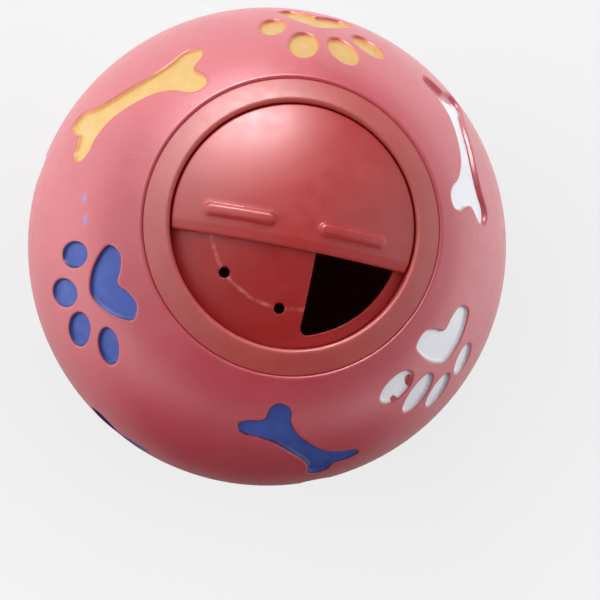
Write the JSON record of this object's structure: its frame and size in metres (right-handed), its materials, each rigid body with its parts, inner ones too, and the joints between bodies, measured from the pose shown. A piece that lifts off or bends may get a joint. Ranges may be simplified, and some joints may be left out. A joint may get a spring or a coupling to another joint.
{
  "type": "treat dispensing ball",
  "caption": "Soft vinyl ball with recessed paw and bone figures and a round dial whose half disc shutter turns to open a half round treat outlet.",
  "frame": {"origin": "centre of the ball", "axes": "+Z out of the dial along the shutter's pivot, X along the two finger ribs at rest, +Y away from the shutter's straight edge"},
  "size_m": [0.11, 0.11, 0.1094],
  "materials": {
    "vinyl": "soft satin vinyl",
    "yellow_paint": "satin paint",
    "white_paint": "satin paint",
    "blue_paint": "satin paint",
    "bezel_plastic": "fine matte",
    "dial_plastic": "semi gloss",
    "steel": "zinc plated"
  },
  "bodies": {
    "ball": {"ball_shell": "vinyl", "yellow_bone_paint": "yellow_paint", "yellow_paw_paint": "yellow_paint", "white_bone_paint": "white_paint", "white_paw_paint": "white_paint", "blue_bone_paint": "blue_paint", "blue_paw_paint": "blue_paint", "bezel_ring": "bezel_plastic", "dial_plate": "dial_plastic"},
    "shutter": {"shutter": "dial_plastic", "pivot_screw": "steel", "pivot_washer": "steel", "spring_washer": "steel"}
  },
  "joints": [
    {"name": "shutter_turn", "type": "hinge", "parent": "ball", "child": "shutter", "pos_m": [0, 0, 0.05], "axis": [0, 0, 1], "range_deg": [-90, 90]}
  ]
}
